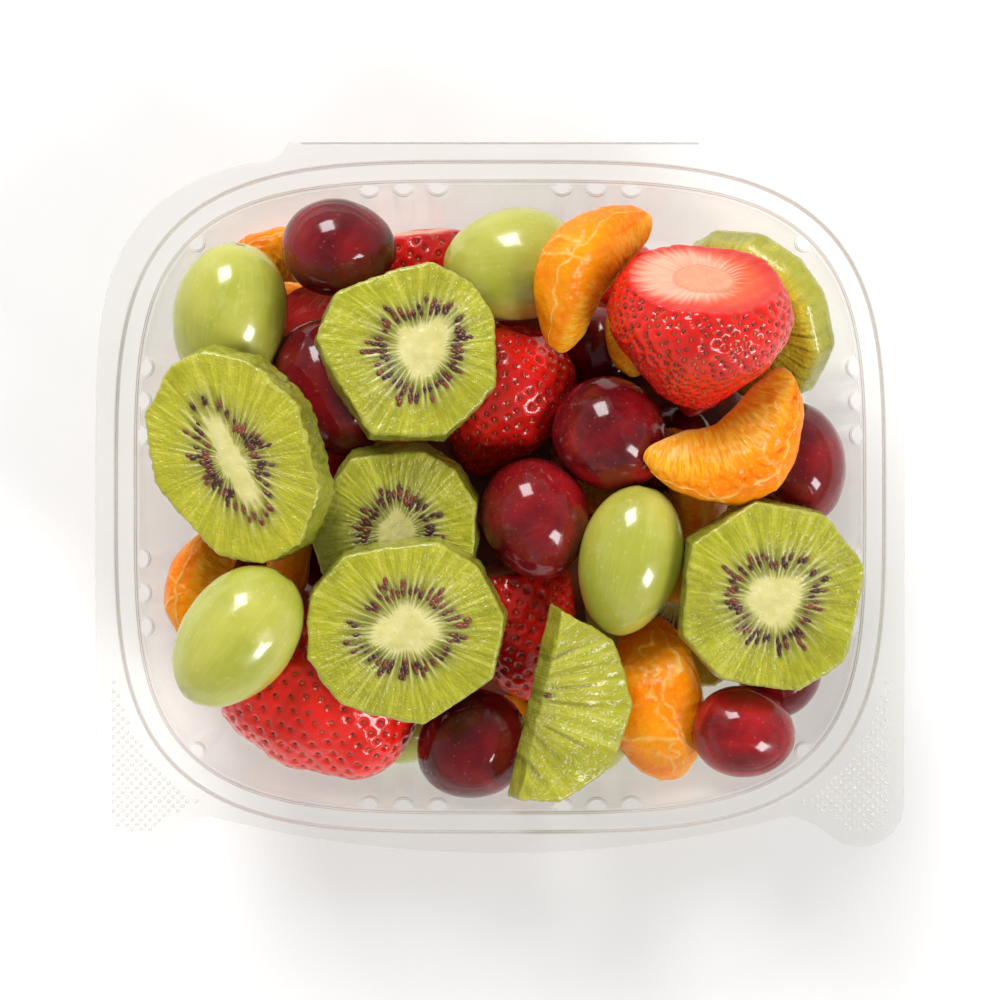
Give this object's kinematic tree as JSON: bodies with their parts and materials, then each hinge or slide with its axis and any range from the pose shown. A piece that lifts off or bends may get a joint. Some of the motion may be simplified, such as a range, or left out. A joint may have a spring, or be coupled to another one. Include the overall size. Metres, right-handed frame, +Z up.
{
  "type": "fruit salad in a clear deli tub",
  "caption": "Fruit salad of kiwi slices, green and red grapes, strawberries and mandarin segments in an open, clear plastic deli tub.",
  "frame": {"origin": "middle of the tub's base, on the surface it stands on", "axes": "+X along the tub's longer side, +Y towards the hinge strip at the back, +Z up"},
  "size_m": [0.1842, 0.1618, 0.0747],
  "materials": {
    "clear_plastic": "clear, glossy thermoformed sheet",
    "fruit_bed": "wet mixed fruit",
    "kiwi": "wet cut flesh",
    "green_grape": "smooth waxy skin",
    "red_grape": "smooth waxy skin with bloom",
    "strawberry": "wet seeded skin",
    "mandarin": "moist segment skin"
  },
  "bodies": {
    "root": {"tub": "clear_plastic", "fruit_bed": "fruit_bed", "green_grape_1": "green_grape", "green_grape_2": "green_grape", "green_grape_3": "green_grape", "green_grape_4": "green_grape", "green_grape_5": "green_grape", "kiwi_slice_1": "kiwi", "kiwi_slice_2": "kiwi", "kiwi_slice_3": "kiwi", "kiwi_slice_4": "kiwi", "kiwi_slice_5": "kiwi", "kiwi_slice_6": "kiwi", "kiwi_slice_7": "kiwi", "kiwi_slice_8": "kiwi", "mandarin_1": "mandarin", "mandarin_2": "mandarin", "mandarin_3": "mandarin", "mandarin_4": "mandarin", "mandarin_5": "mandarin", "red_grape_1": "red_grape", "red_grape_2": "red_grape", "red_grape_3": "red_grape", "red_grape_4": "red_grape", "red_grape_5": "red_grape", "red_grape_6": "red_grape", "red_grape_7": "red_grape", "red_grape_8": "red_grape", "red_grape_9": "red_grape", "red_grape_10": "red_grape", "red_grape_11": "red_grape", "red_grape_12": "red_grape", "strawberry_1": "strawberry", "strawberry_2": "strawberry", "strawberry_3": "strawberry", "strawberry_4": "strawberry", "strawberry_5": "strawberry", "strawberry_6": "strawberry"}
  },
  "joints": []
}
